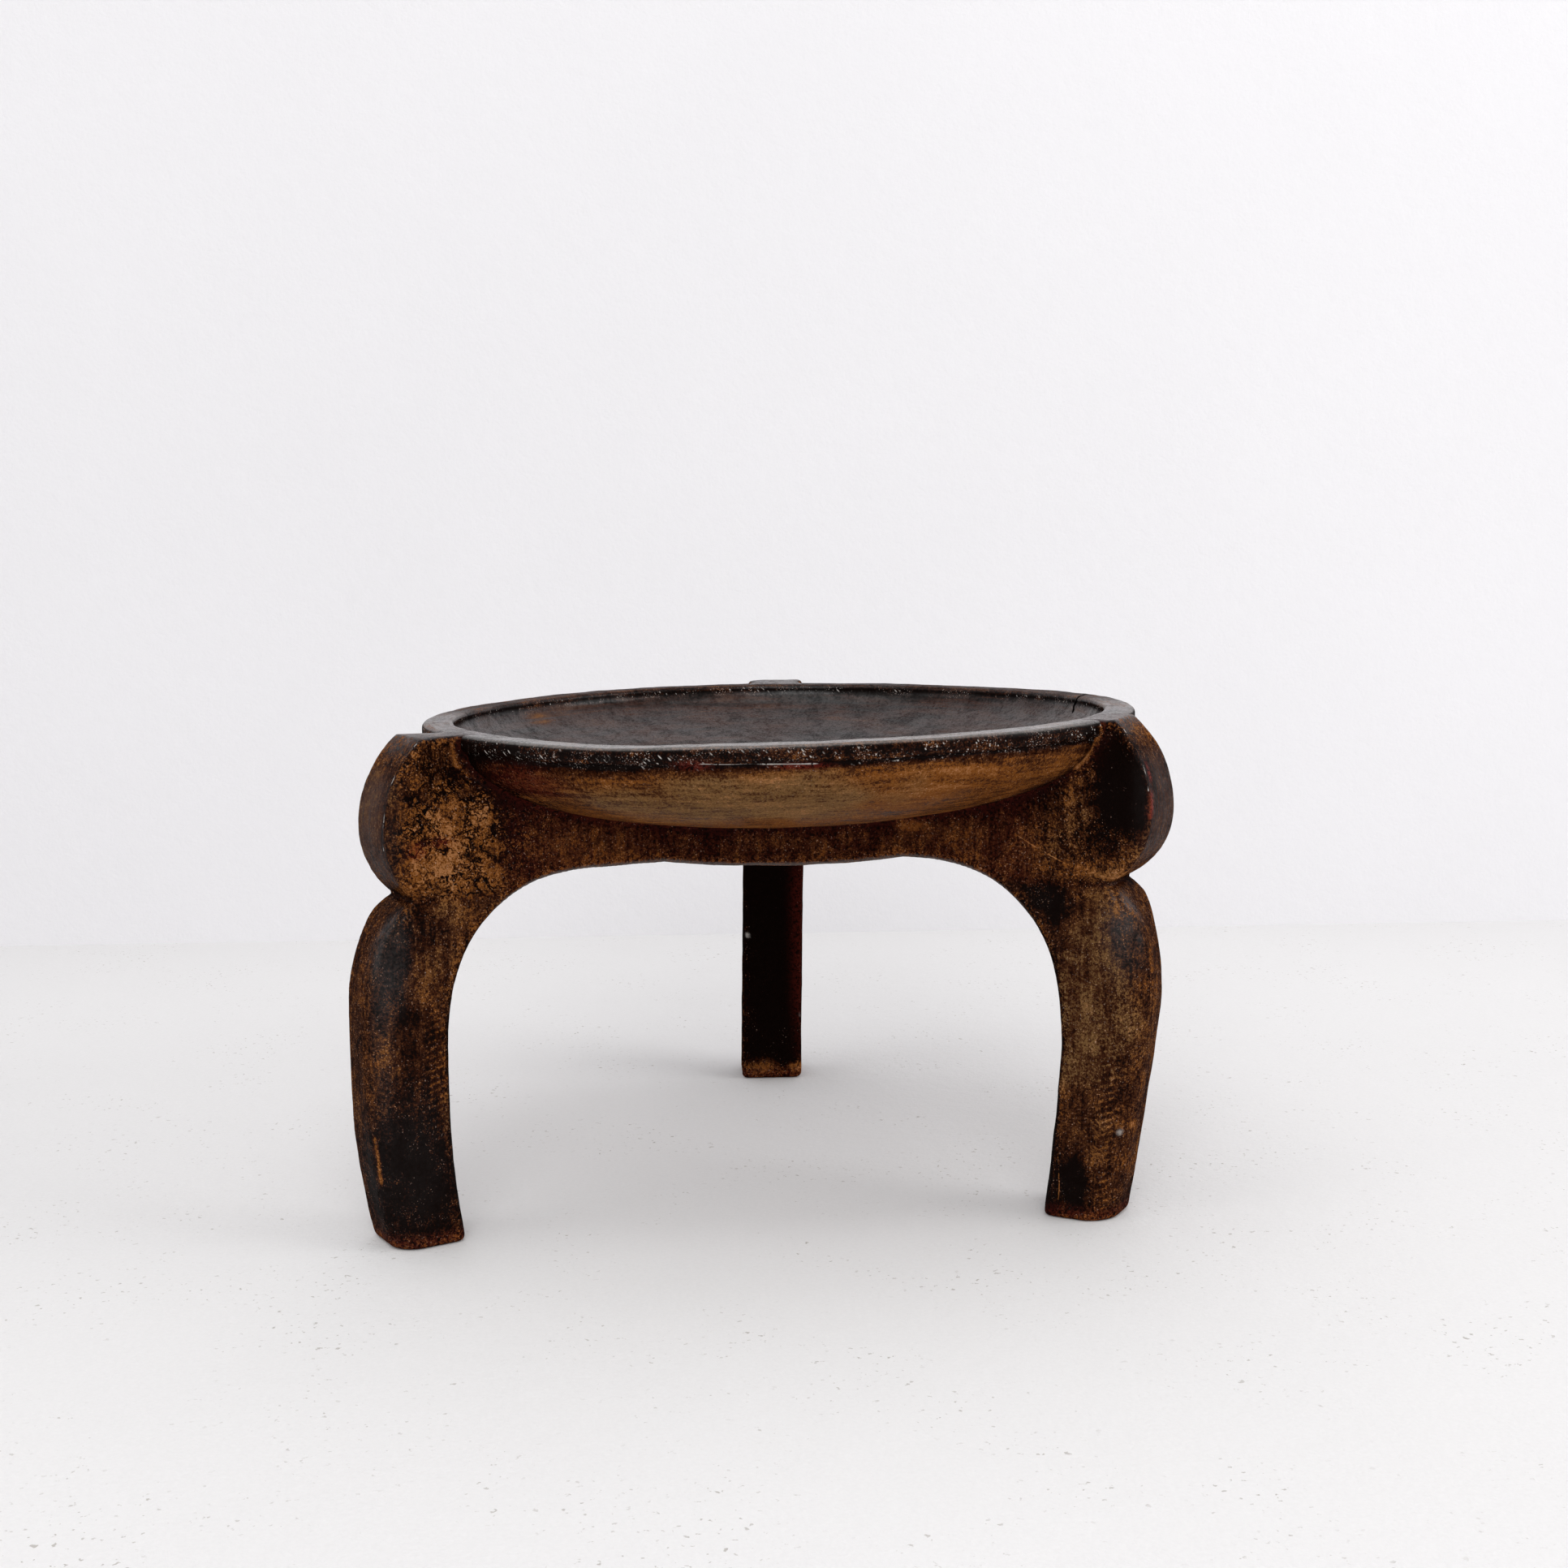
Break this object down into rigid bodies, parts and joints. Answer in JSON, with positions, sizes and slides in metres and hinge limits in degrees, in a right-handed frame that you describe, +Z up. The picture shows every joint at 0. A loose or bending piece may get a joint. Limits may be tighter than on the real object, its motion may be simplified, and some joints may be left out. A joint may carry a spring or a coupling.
{
  "type": "stool",
  "caption": "Low carved wooden stool: a dished round seat on bowed legs, each leg topped by a rounded lug that stands out past the rim.",
  "frame": {"origin": "on the floor, under the centre of the stool's outline in plan", "axes": "+Z up, +X to the right of a viewer in front, -Y to the front, between the left and right legs"},
  "size_m": [0.3701, 0.377, 0.2295],
  "materials": {
    "seat_patina": "dark oiled hardwood, polished grey-brown by use, with a worn satin rim",
    "apron_wood": "reddish brown hardwood with tool streaks and a matt, grimed surface",
    "leg_patina": "near-black to brown patina with an oiled gloss, speckled where worn",
    "lug_patina": "tan to black patina, worn through on the side faces"
  },
  "bodies": {
    "root": {"seat_dish": "seat_patina", "hub": "apron_wood", "arm_left": "apron_wood", "arm_right": "apron_wood", "arm_rear": "apron_wood", "leg_left": "leg_patina", "leg_right": "leg_patina", "leg_rear": "leg_patina", "lug_left": "lug_patina", "lug_right": "lug_patina", "lug_rear": "lug_patina"}
  },
  "joints": []
}
